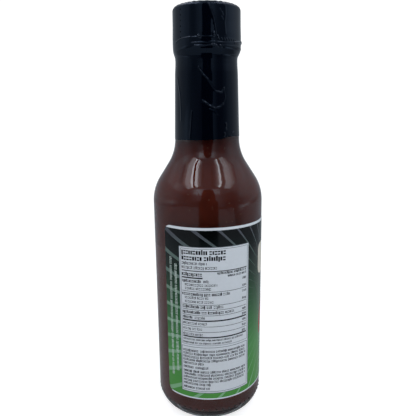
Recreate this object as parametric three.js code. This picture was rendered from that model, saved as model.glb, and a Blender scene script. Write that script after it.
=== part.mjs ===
// A long-necked sauce bottle of clear glass, filled, capped, sealed with a shrink band and labelled.
// Millimetres, +Z up. The bottle stands on its base ring at z = 0, with its axis on the Z axis.
// The start of the label faces -Y, the side of the printed panel.
import * as THREE from 'three';

// Glass body
const BODY_DIAMETER = 47.6;
const WALL = 2.6;
const HEEL_RADIUS = 9.5;
const BASE_THICKNESS = 4.8;
const PUSH_UP = 2.4;
const BASE_RING_INNER_RADIUS = 11.8;

// Shoulder: two arcs of one radius, joined by a straight slope
const SHOULDER_START = 96.7;
const SHOULDER_RADIUS = 19;
const SHOULDER_ANGLE = THREE.MathUtils.degToRad(32.65);

// Neck and finish
const NECK_BASE_RADIUS = 13.75;
const NECK_TOP_RADIUS = 12.7;
const NECK_TOP = 154.5;
const FINISH_RADIUS = 11.5;
const FINISH_BOTTOM = 157.5;
const MOUTH_RADIUS = 7.3;
const MOUTH_BOTTOM = 160;

// Sauce, filled into the neck
const FILL_LEVEL = 134;

// Screw cap and the shrink band round it
const TOTAL_HEIGHT = 175.3;
const CAP_RADIUS = 13.45;
const CAP_BOTTOM = 158.5;
const CAP_SKIRT = 1.2;
const CAP_TOP_WALL = 1.6;
const CAP_CORNER_RADIUS = 1.2;
const BAND_BOTTOM = 123.8;
const BAND_FILM = 0.2;
const BAND_HOLE_RADIUS = 10.4;

// Wrap-round label
const LABEL_HEIGHT = 76.2;
const LABEL_LENGTH = 127;
const LABEL_BOTTOM = 13.4;
const LABEL_THICKNESS = 0.15;
const LABEL_CORNER_RADIUS = 3.2;
const LABEL_START_ANGLE = THREE.MathUtils.degToRad(-48.5);

// Clearance between neighbours, and how round the solids are
const GAP = 0.15;
const SIDES = 40;
const ARC_STEPS = 3;
const LABEL_COLUMNS = 56;

const bodyRadius = BODY_DIAMETER / 2;
const capTop = TOTAL_HEIGHT - BAND_FILM - GAP;
const finishTop = capTop - CAP_TOP_WALL - GAP;
const neckBase = shoulderTop();

// Height at which the shoulder's lower-neck arc runs out vertically into the neck.
function shoulderTop() {
  const arcs = 2 * SHOULDER_RADIUS;
  const slopeDrop = bodyRadius - NECK_BASE_RADIUS - arcs * (1 - Math.cos(SHOULDER_ANGLE));
  return SHOULDER_START + arcs * Math.sin(SHOULDER_ANGLE) + slopeDrop / Math.tan(SHOULDER_ANGLE);
}

// Radius of the neck's outside at a height on its taper.
function neckRadius(height) {
  const share = (height - neckBase) / (NECK_TOP - neckBase);
  return THREE.MathUtils.lerp(NECK_BASE_RADIUS, NECK_TOP_RADIUS, share);
}

// The bottle's half outline from the middle of its base to the start of the neck,
// moved in by a wall thickness and up to a floor height.
function bodyPath(wall, floor) {
  const path = new THREE.Path();
  const heelCentre = bodyRadius - HEEL_RADIUS;
  path.moveTo(0, floor + PUSH_UP);
  path.quadraticCurveTo(BASE_RING_INNER_RADIUS / 2, floor + PUSH_UP, BASE_RING_INNER_RADIUS, floor);
  path.absarc(heelCentre, floor + HEEL_RADIUS - wall, HEEL_RADIUS - wall, -Math.PI / 2, 0, false);
  path.absarc(bodyRadius - SHOULDER_RADIUS, SHOULDER_START, SHOULDER_RADIUS - wall, 0, SHOULDER_ANGLE, false);
  path.absarc(
    NECK_BASE_RADIUS + SHOULDER_RADIUS,
    neckBase,
    SHOULDER_RADIUS + wall,
    Math.PI + SHOULDER_ANGLE,
    Math.PI,
    true,
  );
  return path;
}

// Turns a half outline of (radius, height) points about the Z axis.
function turned(points) {
  return new THREE.LatheGeometry(points, SIDES).rotateX(Math.PI / 2);
}

// Hollow glass: up the outside, over the rim and down the inside.
function bottleGeometry() {
  const outside = bodyPath(0, 0);
  outside.lineTo(NECK_TOP_RADIUS, NECK_TOP);
  outside.lineTo(FINISH_RADIUS, FINISH_BOTTOM);
  outside.lineTo(FINISH_RADIUS, finishTop);
  const inside = bodyPath(WALL, BASE_THICKNESS);
  inside.lineTo(NECK_TOP_RADIUS - WALL, NECK_TOP);
  inside.lineTo(MOUTH_RADIUS, MOUTH_BOTTOM);
  inside.lineTo(MOUTH_RADIUS, finishTop);
  return turned([...outside.getPoints(ARC_STEPS), ...inside.getPoints(ARC_STEPS).reverse()]);
}

// The sauce fills the glass up to a level surface in the neck.
function sauceGeometry() {
  const path = bodyPath(WALL + GAP, BASE_THICKNESS + GAP);
  path.lineTo(neckRadius(FILL_LEVEL) - WALL - GAP, FILL_LEVEL);
  path.lineTo(0, FILL_LEVEL);
  return turned(path.getPoints(ARC_STEPS));
}

// A plain cup-shaped cap, open below.
function capGeometry() {
  const path = new THREE.Path();
  const ceiling = capTop - CAP_TOP_WALL;
  const cornerCentre = CAP_RADIUS - CAP_CORNER_RADIUS;
  path.moveTo(0, ceiling);
  path.lineTo(CAP_RADIUS - CAP_SKIRT, ceiling);
  path.lineTo(CAP_RADIUS - CAP_SKIRT, CAP_BOTTOM);
  path.lineTo(CAP_RADIUS, CAP_BOTTOM);
  path.absarc(cornerCentre, capTop - CAP_CORNER_RADIUS, CAP_CORNER_RADIUS, 0, Math.PI / 2, false);
  path.lineTo(0, capTop);
  return turned(path.getPoints(ARC_STEPS));
}

// One face of the shrunk film, from its lower edge on the neck to its curl over the cap's top.
function bandPath(offset) {
  const path = new THREE.Path();
  const cornerCentre = CAP_RADIUS - CAP_CORNER_RADIUS;
  path.moveTo(neckRadius(BAND_BOTTOM) + offset, BAND_BOTTOM);
  path.lineTo(NECK_TOP_RADIUS + offset, NECK_TOP);
  path.lineTo(CAP_RADIUS + offset, CAP_BOTTOM - GAP);
  path.absarc(cornerCentre, capTop - CAP_CORNER_RADIUS, CAP_CORNER_RADIUS + offset, 0, Math.PI / 2, false);
  path.lineTo(BAND_HOLE_RADIUS, capTop + offset);
  return path;
}

function bandGeometry() {
  const outside = bandPath(GAP + BAND_FILM).getPoints(ARC_STEPS);
  const inside = bandPath(GAP).getPoints(ARC_STEPS).reverse();
  return turned([...outside, ...inside, outside[0]]);
}

// Half the label's height at a distance from its nearer end, less where the corners are round.
function labelHalfHeight(fromEnd) {
  const intoCorner = Math.max(LABEL_CORNER_RADIUS - fromEnd, 0);
  const cornerRise = Math.sqrt(LABEL_CORNER_RADIUS ** 2 - intoCorner ** 2);
  return LABEL_HEIGHT / 2 - LABEL_CORNER_RADIUS + cornerRise;
}

// A thin sheet in columns, closer together at its ends, bent round the body.
function labelGeometry() {
  const sheet = new THREE.BoxGeometry(1, 1, 1, LABEL_COLUMNS, 1, 1);
  const position = sheet.attributes.position;
  const innerRadius = bodyRadius + GAP;
  for (let i = 0; i < position.count; i += 1) {
    const share = (1 + Math.sin(Math.PI * position.getX(i))) / 2;
    const along = share * LABEL_LENGTH;
    const angle = LABEL_START_ANGLE + along / bodyRadius;
    const fromEnd = Math.min(along, LABEL_LENGTH - along);
    const radius = innerRadius + (0.5 + position.getZ(i)) * LABEL_THICKNESS;
    const height = LABEL_BOTTOM + LABEL_HEIGHT / 2 + 2 * position.getY(i) * labelHalfHeight(fromEnd);
    position.setXYZ(i, radius * Math.sin(angle), -radius * Math.cos(angle), height);
  }
  sheet.computeVertexNormals();
  return sheet;
}

function piece(name, geometry, look) {
  const mesh = new THREE.Mesh(geometry, new THREE.MeshStandardMaterial(look));
  mesh.name = name;
  return mesh;
}

const clearGlass = { color: 0xdfe6e8, roughness: 0.03, metalness: 0, transparent: true, opacity: 0.3 };
const redBrownSauce = { color: 0x4a1c12, roughness: 0.35, metalness: 0 };
const blackPlastic = { color: 0x101114, roughness: 0.4, metalness: 0 };
const blackFilm = { color: 0x12161c, roughness: 0.18, metalness: 0 };
const greenPaper = { color: 0x2c5b35, roughness: 0.3, metalness: 0 };

const sauceBottle = new THREE.Group();
sauceBottle.add(
  piece('bottle', bottleGeometry(), clearGlass),
  piece('sauce', sauceGeometry(), redBrownSauce),
  piece('cap', capGeometry(), blackPlastic),
  piece('shrink_band', bandGeometry(), blackFilm),
  piece('label', labelGeometry(), greenPaper),
);

export default sauceBottle;
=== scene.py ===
"""Looks of a sealed bottle of hot sauce: clear glass, dark sauce, shrink band and printed label."""
import logging
import math
import random
from dataclasses import dataclass, field
from enum import Enum

import bmesh
import bpy
from mathutils import Matrix, Vector


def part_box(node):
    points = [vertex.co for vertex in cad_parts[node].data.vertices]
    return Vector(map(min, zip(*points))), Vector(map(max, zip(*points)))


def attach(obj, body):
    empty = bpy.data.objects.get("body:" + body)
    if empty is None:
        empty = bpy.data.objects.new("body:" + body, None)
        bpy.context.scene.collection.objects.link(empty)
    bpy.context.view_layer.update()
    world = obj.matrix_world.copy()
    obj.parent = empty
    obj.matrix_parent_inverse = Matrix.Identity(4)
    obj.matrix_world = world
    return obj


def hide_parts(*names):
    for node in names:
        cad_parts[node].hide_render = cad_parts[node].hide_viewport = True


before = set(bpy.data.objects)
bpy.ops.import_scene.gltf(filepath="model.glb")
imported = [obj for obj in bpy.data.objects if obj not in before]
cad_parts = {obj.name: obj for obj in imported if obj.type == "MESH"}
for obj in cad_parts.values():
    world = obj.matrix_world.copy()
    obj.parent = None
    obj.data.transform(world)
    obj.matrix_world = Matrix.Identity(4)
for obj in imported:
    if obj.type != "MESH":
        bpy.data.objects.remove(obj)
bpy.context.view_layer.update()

MM = 0.001
BODY = "root"
LOG = logging.getLogger("sauce_bottle")

Colour = tuple[float, float, float, float]
Pair = tuple[float, float]


def linear(colour: str) -> Colour:
    """Turns an sRGB hex colour into the linear values that shaders take.

    Args:
        colour: Six hex digits after a hash sign.

    Returns:
        Red, green, blue and an alpha of one.
    """
    shares = [int(colour[place:place + 2], 16) / 255 for place in (1, 3, 5)]
    red, green, blue = (s / 12.92 if s <= 0.04045 else ((s + 0.055) / 1.055) ** 2.4 for s in shares)
    return red, green, blue, 1.0


def add_node(tree: bpy.types.NodeTree, kind: str, settings: dict | None = None,
             links: dict | None = None) -> bpy.types.Node:
    """Adds one node with its settings and links.

    Args:
        tree: Node tree of a material or the world.
        kind: Blender's name for the node type.
        settings: Properties by name, or input values by name or number.
        links: Output sockets to join, by the name or number of the input.

    Returns:
        The new node.
    """
    node = tree.nodes.new(kind)
    for key, value in (settings or {}).items():
        if isinstance(key, str) and hasattr(node, key):
            setattr(node, key, value)
        else:
            node.inputs[key].default_value = value
    for key, socket in (links or {}).items():
        tree.links.new(socket, node.inputs[key])
    return node


def new_material(name: str) -> tuple[bpy.types.Material, bpy.types.NodeTree]:
    """Makes a material with an empty node tree.

    Args:
        name: The material's name.

    Returns:
        The material and its node tree.
    """
    material = bpy.data.materials.new(name)
    material.use_nodes = True
    material.node_tree.nodes.clear()
    return material, material.node_tree


def set_stops(ramp: bpy.types.ColorRamp, stops: list[tuple[float, Colour]]) -> None:
    """Puts colour stops on a ramp.

    Args:
        ramp: Colour ramp of a node.
        stops: Position from 0 to 1 and linear colour of each stop, in order.
    """
    ramp.elements.remove(ramp.elements[1])
    for place, (position, colour) in enumerate(stops):
        element = ramp.elements[0] if place == 0 else ramp.elements.new(position)
        element.position = position
        element.color = colour


def make_piece(name: str, shape: bmesh.types.BMesh, material: bpy.types.Material,
               nodes: tuple[str, ...] = (), sharp: float = 40.0) -> bpy.types.Object:
    """Turns a bmesh into a finished piece that rides on the bottle.

    Args:
        name: Piece name.
        shape: Closed shape in metres, freed here.
        material: Finish of the whole piece.
        nodes: CAD nodes that the piece stands for.
        sharp: Edges that turn more than this many degrees stay crisp.

    Returns:
        The new object.
    """
    data = bpy.data.meshes.new(name)
    shape.to_mesh(data)
    shape.free()
    data.shade_smooth()
    data.set_sharp_from_angle(angle=math.radians(sharp))
    data.materials.append(material)
    piece = bpy.data.objects.new(name, data)
    bpy.context.scene.collection.objects.link(piece)
    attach(piece, BODY)
    if nodes:
        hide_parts(*nodes)
    LOG.info("%s: %d faces", name, len(data.polygons))
    return piece


@dataclass
class Outline:
    """A half outline of radius and height in millimetres, to be turned about the bottle's axis."""

    points: list[Vector] = field(default_factory=list)

    def to(self, radius: float, height: float) -> "Outline":
        """Adds a corner and returns the outline."""
        self.points.append(Vector((radius * MM, 0.0, height * MM)))
        return self

    def arc(self, centre: Pair, radius: float, start: float, end: float, steps: int = 14) -> "Outline":
        """Adds a round stretch.

        Args:
            centre: Radius and height of the arc's centre.
            radius: The arc's own radius.
            start: Angle in degrees at which it starts, 0 pointing outwards and 90 up.
            end: Angle in degrees at which it ends.
            steps: Straight steps that stand for the curve.

        Returns:
            The outline.
        """
        for step in range(steps + 1):
            angle = math.radians(start + (end - start) * step / steps)
            self.to(centre[0] + radius * math.cos(angle), centre[1] + radius * math.sin(angle))
        return self

    def finer(self, spacing: float) -> "Outline":
        """Divides the outline's straight stretches.

        Args:
            spacing: Largest distance between two points in millimetres.

        Returns:
            The same outline with more points.
        """
        dense = [self.points[0]]
        for start, end in zip(self.points, self.points[1:]):
            cuts = max(1, math.ceil((end - start).length / (spacing * MM)))
            dense += [start.lerp(end, cut / cuts) for cut in range(1, cuts + 1)]
        return Outline(dense)

    def spin(self, steps: int) -> bmesh.types.BMesh:
        """Spins the outline into a skin that is closed all round.

        Args:
            steps: Number of columns round the axis.

        Returns:
            The skin, with its faces pointing outwards.
        """
        skin = bmesh.new()
        corners = [skin.verts.new(point) for point in self.points]
        edges = [skin.edges.new(pair) for pair in zip(corners, corners[1:])]
        bmesh.ops.spin(skin, geom=corners + edges, cent=(0, 0, 0), axis=(0, 0, 1), dvec=(0, 0, 0),
                       angle=math.tau, steps=steps, use_merge=True)
        bmesh.ops.remove_doubles(skin, verts=skin.verts, dist=1e-6)
        bmesh.ops.recalc_face_normals(skin, faces=skin.faces)
        return skin


@dataclass(frozen=True)
class MouldedGlass:
    """Clear soda-lime glass, blown in a mould: its outside is faintly wavy, so reflections wobble."""

    tint: str = "#f3f8f6"
    wave_size: float = 6.0
    wave_height: float = 0.045

    def material(self) -> bpy.types.Material:
        """Makes the finish.

        Returns:
            The new material.
        """
        material, tree = new_material("soda_lime_glass_moulded")
        place = add_node(tree, "ShaderNodeTexCoord")
        wave = add_node(tree, "ShaderNodeTexNoise", {"Scale": 1 / (self.wave_size * MM), "Detail": 4.0},
                        {"Vector": place.outputs["Object"]})
        bump = add_node(tree, "ShaderNodeBump", {"Strength": 0.5, "Distance": self.wave_height * MM},
                        {"Height": wave.outputs["Fac"]})
        shader = add_node(tree, "ShaderNodeBsdfPrincipled",
                          {"Base Color": linear(self.tint), "Roughness": 0.0, "IOR": 1.52,
                           "Transmission Weight": 1.0},
                          {"Normal": bump.outputs["Normal"]})
        add_node(tree, "ShaderNodeOutputMaterial", links={"Surface": shader.outputs["BSDF"]})
        return material


@dataclass(frozen=True)
class PepperSauce:
    """Thick pepper sauce: an even red-brown mash with darker clouds and fine specks of skin and seed."""

    mash: str = "#762d1a"
    cloud: str = "#682617"
    # painted shade: the darker sauce colour mixed in up the neck
    painted_neck_shade: str = "#5c1a10"
    speck: str = "#d8b48c"
    painted_neck_shade_from: Pair = (108.0, 121.0)
    cloud_size: float = 14.0
    speck_spacing: float = 1.9
    speck_radius: float = 0.18
    speck_strength: float = 0.45

    def material(self) -> bpy.types.Material:
        """Makes the finish, with painted shade that darkens the sauce towards the neck.

        Returns:
            The new material.
        """
        material, tree = new_material("pepper_sauce_mash")
        place = add_node(tree, "ShaderNodeTexCoord")
        clouds = add_node(tree, "ShaderNodeTexNoise", {"Scale": 1 / (self.cloud_size * MM), "Detail": 3.0},
                          {"Vector": place.outputs["Object"]})
        body = add_node(tree, "ShaderNodeMix",
                        {"data_type": "RGBA", 6: linear(self.mash), 7: linear(self.cloud)},
                        {0: clouds.outputs["Fac"]})
        axes = add_node(tree, "ShaderNodeSeparateXYZ", links={0: place.outputs["Object"]})
        # painted shade: fades from the mash to the darker colour between these heights
        low, high = (level * MM for level in self.painted_neck_shade_from)
        painted_neck_shade = add_node(tree, "ShaderNodeMapRange", {"From Min": low, "From Max": high},
                         {"Value": axes.outputs["Z"]})
        tone = add_node(tree, "ShaderNodeMix", {"data_type": "RGBA", 7: linear(self.painted_neck_shade)},
                        {0: painted_neck_shade.outputs["Result"], 6: body.outputs[2]})
        grains = add_node(tree, "ShaderNodeTexVoronoi", {"Scale": 1 / (self.speck_spacing * MM)},
                          {"Vector": place.outputs["Object"]})
        reach = self.speck_radius / self.speck_spacing
        specks = add_node(tree, "ShaderNodeMapRange",
                          {"interpolation_type": "SMOOTHSTEP", "From Min": reach, "From Max": reach / 2,
                           "To Max": self.speck_strength},
                          {"Value": grains.outputs["Distance"]})
        colour = add_node(tree, "ShaderNodeMix", {"data_type": "RGBA", 7: linear(self.speck)},
                          {0: specks.outputs["Result"], 6: tone.outputs[2]})
        shader = add_node(tree, "ShaderNodeBsdfPrincipled", {"Roughness": 0.5, "Specular IOR Level": 0.1},
                          {"Base Color": colour.outputs[2]})
        add_node(tree, "ShaderNodeOutputMaterial", links={"Surface": shader.outputs["BSDF"]})
        return material


@dataclass(frozen=True)
class BlackPolypropylene:
    """Moulded black polypropylene: a soft sheen broken by a fine spark-eroded grain."""

    colour: str = "#131416"
    grain_size: float = 0.5
    grain_height: float = 0.02

    def material(self) -> bpy.types.Material:
        """Makes the finish.

        Returns:
            The new material.
        """
        material, tree = new_material("polypropylene_moulded_black")
        place = add_node(tree, "ShaderNodeTexCoord")
        grain = add_node(tree, "ShaderNodeTexNoise", {"Scale": 1 / (self.grain_size * MM), "Detail": 2.0},
                         {"Vector": place.outputs["Object"]})
        bump = add_node(tree, "ShaderNodeBump", {"Strength": 0.6, "Distance": self.grain_height * MM},
                        {"Height": grain.outputs["Fac"]})
        gloss = add_node(tree, "ShaderNodeMapRange", {"To Min": 0.36, "To Max": 0.48},
                         {"Value": grain.outputs["Fac"]})
        shader = add_node(tree, "ShaderNodeBsdfPrincipled", {"Base Color": linear(self.colour)},
                          {"Roughness": gloss.outputs["Result"], "Normal": bump.outputs["Normal"]})
        add_node(tree, "ShaderNodeOutputMaterial", links={"Surface": shader.outputs["BSDF"]})
        return material


@dataclass(frozen=True)
class ShrinkFilm:
    """Blue-black PVC shrink film: mirror-smooth and drawn into faint upright streaks as it shrank.

    It shines most where it is tight on the cap, and is duller on the neck and where it puckers at the rim.
    """

    colour: str = "#01030b"
    sheen: str = "#c4deff"
    shine: Pair = (0.27, 0.46)
    tight_from: Pair = (150.0, 161.0)
    pucker: float = 0.26
    pucker_from: Pair = (173.0, 174.6)
    streak_width: float = 1.5
    streak_length: float = 26.0
    streak_height: float = 0.06

    def material(self) -> bpy.types.Material:
        """Makes the finish.

        Returns:
            The new material.
        """
        material, tree = new_material("pvc_shrink_film_black")
        place = add_node(tree, "ShaderNodeTexCoord")
        across, along = (1 / (size * MM) for size in (self.streak_width, self.streak_length))
        stretch = add_node(tree, "ShaderNodeMapping", {"Scale": (across, across, along)},
                           {"Vector": place.outputs["Object"]})
        streaks = add_node(tree, "ShaderNodeTexNoise", {"Scale": 1.0, "Detail": 3.0},
                           {"Vector": stretch.outputs["Vector"]})
        bump = add_node(tree, "ShaderNodeBump", {"Strength": 0.5, "Distance": self.streak_height * MM},
                        {"Height": streaks.outputs["Fac"]})
        axes = add_node(tree, "ShaderNodeSeparateXYZ", links={0: place.outputs["Object"]})
        loose, tight = (level * MM for level in self.tight_from)
        dull, bright = self.shine
        shine = add_node(tree, "ShaderNodeMapRange",
                         {"From Min": loose, "From Max": tight, "To Min": dull, "To Max": bright},
                         {"Value": axes.outputs["Z"]})
        flat, puckered = (level * MM for level in self.pucker_from)
        pucker = add_node(tree, "ShaderNodeMapRange",
                          {"From Min": flat, "From Max": puckered, "To Max": self.pucker},
                          {"Value": axes.outputs["Z"]})
        gloss = add_node(tree, "ShaderNodeMapRange", {"To Min": 0.02, "To Max": 0.1},
                         {"Value": streaks.outputs["Fac"]})
        rough = add_node(tree, "ShaderNodeMath", {"operation": "ADD"},
                         {0: gloss.outputs["Result"], 1: pucker.outputs["Result"]})
        shader = add_node(tree, "ShaderNodeBsdfPrincipled",
                          {"Base Color": linear(self.colour), "IOR": 1.5,
                           "Specular Tint": linear(self.sheen)},
                          {"Specular IOR Level": shine.outputs["Result"], "Roughness": rough.outputs[0],
                           "Normal": bump.outputs["Normal"]})
        add_node(tree, "ShaderNodeOutputMaterial", links={"Surface": shader.outputs["BSDF"]})
        return material


@dataclass(frozen=True)
class PaintedHoleShade:
    """Dark dots for the holes pricked in the film: matt near-black that is partly the black cap seen through
    each hole and partly painted shade inside it, with a little grey dust.
    """

    # painted shade: near-black for the shade inside the holes, over the black cap
    colour: str = "#020304"
    dust: str = "#0a0c0f"
    dust_size: float = 0.3

    def material(self) -> bpy.types.Material:
        """Makes the finish.

        Returns:
            The new material.
        """
        material, tree = new_material("pvc_film_hole_painted_shade")
        place = add_node(tree, "ShaderNodeTexCoord")
        grain = add_node(tree, "ShaderNodeTexNoise", {"Scale": 1 / (self.dust_size * MM), "Detail": 2.0},
                         {"Vector": place.outputs["Object"]})
        colour = add_node(tree, "ShaderNodeMix",
                          {"data_type": "RGBA", 6: linear(self.colour), 7: linear(self.dust)},
                          {0: grain.outputs["Fac"]})
        shader = add_node(tree, "ShaderNodeBsdfPrincipled", {"Roughness": 0.95, "Specular IOR Level": 0.0},
                          {"Base Color": colour.outputs[2]})
        add_node(tree, "ShaderNodeOutputMaterial", links={"Surface": shader.outputs["BSDF"]})
        return material


@dataclass(frozen=True)
class VarnishedPaper:
    """Gloss-varnished label paper: a black to green fade, pale rays and bare white edges top and bottom."""

    fade: tuple[tuple[float, str], ...] = (
        (20.0, "#539f45"), (34.0, "#4f9a4d"), (46.0, "#3c7a42"), (58.0, "#295634"),
        (68.0, "#163525"), (77.0, "#0a1917"), (86.0, "#030506"),
    )
    bare: str = "#f3f6f8"
    ray_fade: tuple[tuple[float, str], ...] = (
        (20.0, "#89be8b"), (46.0, "#86b48e"), (58.0, "#7a9f82"),
        (68.0, "#6e867a"), (78.0, "#647870"), (86.0, "#54575d"),
    )
    ray_count: int = 53
    ray_first: float = 122.4
    ray_share: Pair = (0.06, 0.21)
    ray_reach: Pair = (20.0, 66.0)
    ray_centre: Pair = (42.5, 51.5)
    top_edge: float = 88.43
    bottom_edge: float = 14.0
    print_span: float = 100.0
    fibre_size: float = 0.7
    fibre_height: float = 0.012

    def material(self) -> bpy.types.Material:
        """Makes the finish, which reads the label's flat map in millimetres over the print span.

        Returns:
            The new material.
        """
        material, tree = new_material("label_paper_gloss_varnish")
        flat = add_node(tree, "ShaderNodeUVMap", {"uv_map": "flat"})
        where = add_node(tree, "ShaderNodeSeparateXYZ", links={0: flat.outputs["UV"]})
        fade = add_node(tree, "ShaderNodeValToRGB", links={"Fac": where.outputs["Y"]})
        set_stops(fade.color_ramp, [(height / self.print_span, linear(hue)) for height, hue in self.fade])
        pale = add_node(tree, "ShaderNodeValToRGB", links={"Fac": where.outputs["Y"]})
        set_stops(pale.color_ramp, [(height / self.print_span, linear(hue)) for height, hue in self.ray_fade])
        rays = self._rays(tree, where)
        lit = add_node(tree, "ShaderNodeMix", {"data_type": "RGBA"},
                       {0: rays.outputs[0], 6: fade.outputs["Color"], 7: pale.outputs["Color"]})
        above = add_node(tree, "ShaderNodeMath",
                         {"operation": "GREATER_THAN", 1: self.top_edge / self.print_span},
                         {0: where.outputs["Y"]})
        below = add_node(tree, "ShaderNodeMath",
                         {"operation": "LESS_THAN", 1: self.bottom_edge / self.print_span},
                         {0: where.outputs["Y"]})
        edge = add_node(tree, "ShaderNodeMath", {"operation": "MAXIMUM"},
                        {0: above.outputs[0], 1: below.outputs[0]})
        colour = add_node(tree, "ShaderNodeMix", {"data_type": "RGBA", 7: linear(self.bare)},
                          {0: edge.outputs[0], 6: lit.outputs[2]})
        place = add_node(tree, "ShaderNodeTexCoord")
        fibre = add_node(tree, "ShaderNodeTexNoise", {"Scale": 1 / (self.fibre_size * MM), "Detail": 2.0},
                         {"Vector": place.outputs["Object"]})
        bump = add_node(tree, "ShaderNodeBump", {"Strength": 0.3, "Distance": self.fibre_height * MM},
                        {"Height": fibre.outputs["Fac"]})
        gloss = add_node(tree, "ShaderNodeMapRange", {"To Min": 0.1, "To Max": 0.18},
                         {"Value": fibre.outputs["Fac"]})
        shader = add_node(tree, "ShaderNodeBsdfPrincipled", {"IOR": 1.48, "Specular IOR Level": 0.36},
                          {"Base Color": colour.outputs[2], "Roughness": gloss.outputs["Result"],
                           "Normal": bump.outputs["Normal"]})
        add_node(tree, "ShaderNodeOutputMaterial", links={"Surface": shader.outputs["BSDF"]})
        return material

    def _rays(self, tree: bpy.types.NodeTree, where: bpy.types.Node) -> bpy.types.Node:
        """Adds the rays that spread from the middle of the label's front.

        Args:
            tree: The material's node tree.
            where: Node that holds the place on the flat label.

        Returns:
            A node whose output is how pale the rays make a place.
        """
        along, up = (centre / self.print_span for centre in self.ray_centre)
        near, far = (reach / self.print_span for reach in self.ray_reach)
        thin, wide = (share / 2 for share in self.ray_share)
        per_turn = self.ray_count / math.tau
        first = per_turn * math.radians(self.ray_first)
        side = add_node(tree, "ShaderNodeMath", {"operation": "SUBTRACT", 1: along}, {0: where.outputs["X"]})
        rise = add_node(tree, "ShaderNodeMath", {"operation": "SUBTRACT", 1: up}, {0: where.outputs["Y"]})
        bearing = add_node(tree, "ShaderNodeMath", {"operation": "ARCTAN2"},
                           {0: rise.outputs[0], 1: side.outputs[0]})
        turn = add_node(tree, "ShaderNodeMath", {"operation": "MULTIPLY_ADD", 1: per_turn, 2: -first},
                        {0: bearing.outputs[0]})
        off_ray = add_node(tree, "ShaderNodeMath", {"operation": "PINGPONG", 1: 0.5}, {0: turn.outputs[0]})
        place = add_node(tree, "ShaderNodeCombineXYZ", links={0: side.outputs[0], 1: rise.outputs[0]})
        reach = add_node(tree, "ShaderNodeVectorMath", {"operation": "LENGTH"}, {0: place.outputs[0]})
        width = add_node(tree, "ShaderNodeMapRange",
                         {"From Min": near, "From Max": far, "To Min": thin, "To Max": wide},
                         {"Value": reach.outputs["Value"]})
        paleness = add_node(tree, "ShaderNodeMapRange", {"From Min": near, "From Max": (near + far) / 2},
                            {"Value": reach.outputs["Value"]})
        inside = add_node(tree, "ShaderNodeMath", {"operation": "LESS_THAN"},
                          {0: off_ray.outputs[0], 1: width.outputs["Result"]})
        return add_node(tree, "ShaderNodeMath", {"operation": "MULTIPLY"},
                        {0: inside.outputs[0], 1: paleness.outputs["Result"]})


@dataclass(frozen=True)
class Ink:
    """Offset ink under gloss varnish: an even colour with a slight mottle in its sheen."""

    name: str
    colour: str
    mottle_size: float = 1.2

    def material(self) -> bpy.types.Material:
        """Makes the finish.

        Returns:
            The new material.
        """
        material, tree = new_material(f"offset_ink_{self.name}")
        place = add_node(tree, "ShaderNodeTexCoord")
        mottle = add_node(tree, "ShaderNodeTexNoise", {"Scale": 1 / (self.mottle_size * MM), "Detail": 2.0},
                          {"Vector": place.outputs["Object"]})
        gloss = add_node(tree, "ShaderNodeMapRange", {"To Min": 0.18, "To Max": 0.3},
                         {"Value": mottle.outputs["Fac"]})
        tone = add_node(tree, "ShaderNodeHueSaturation", {"Color": linear(self.colour)})
        shift = add_node(tree, "ShaderNodeMapRange", {"To Min": 0.96, "To Max": 1.04},
                         {"Value": mottle.outputs["Fac"]})
        tree.links.new(shift.outputs["Result"], tone.inputs["Value"])
        shader = add_node(tree, "ShaderNodeBsdfPrincipled", {"IOR": 1.48, "Specular IOR Level": 0.28},
                          {"Base Color": tone.outputs["Color"], "Roughness": gloss.outputs["Result"]})
        add_node(tree, "ShaderNodeOutputMaterial", links={"Surface": shader.outputs["BSDF"]})
        return material


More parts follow.
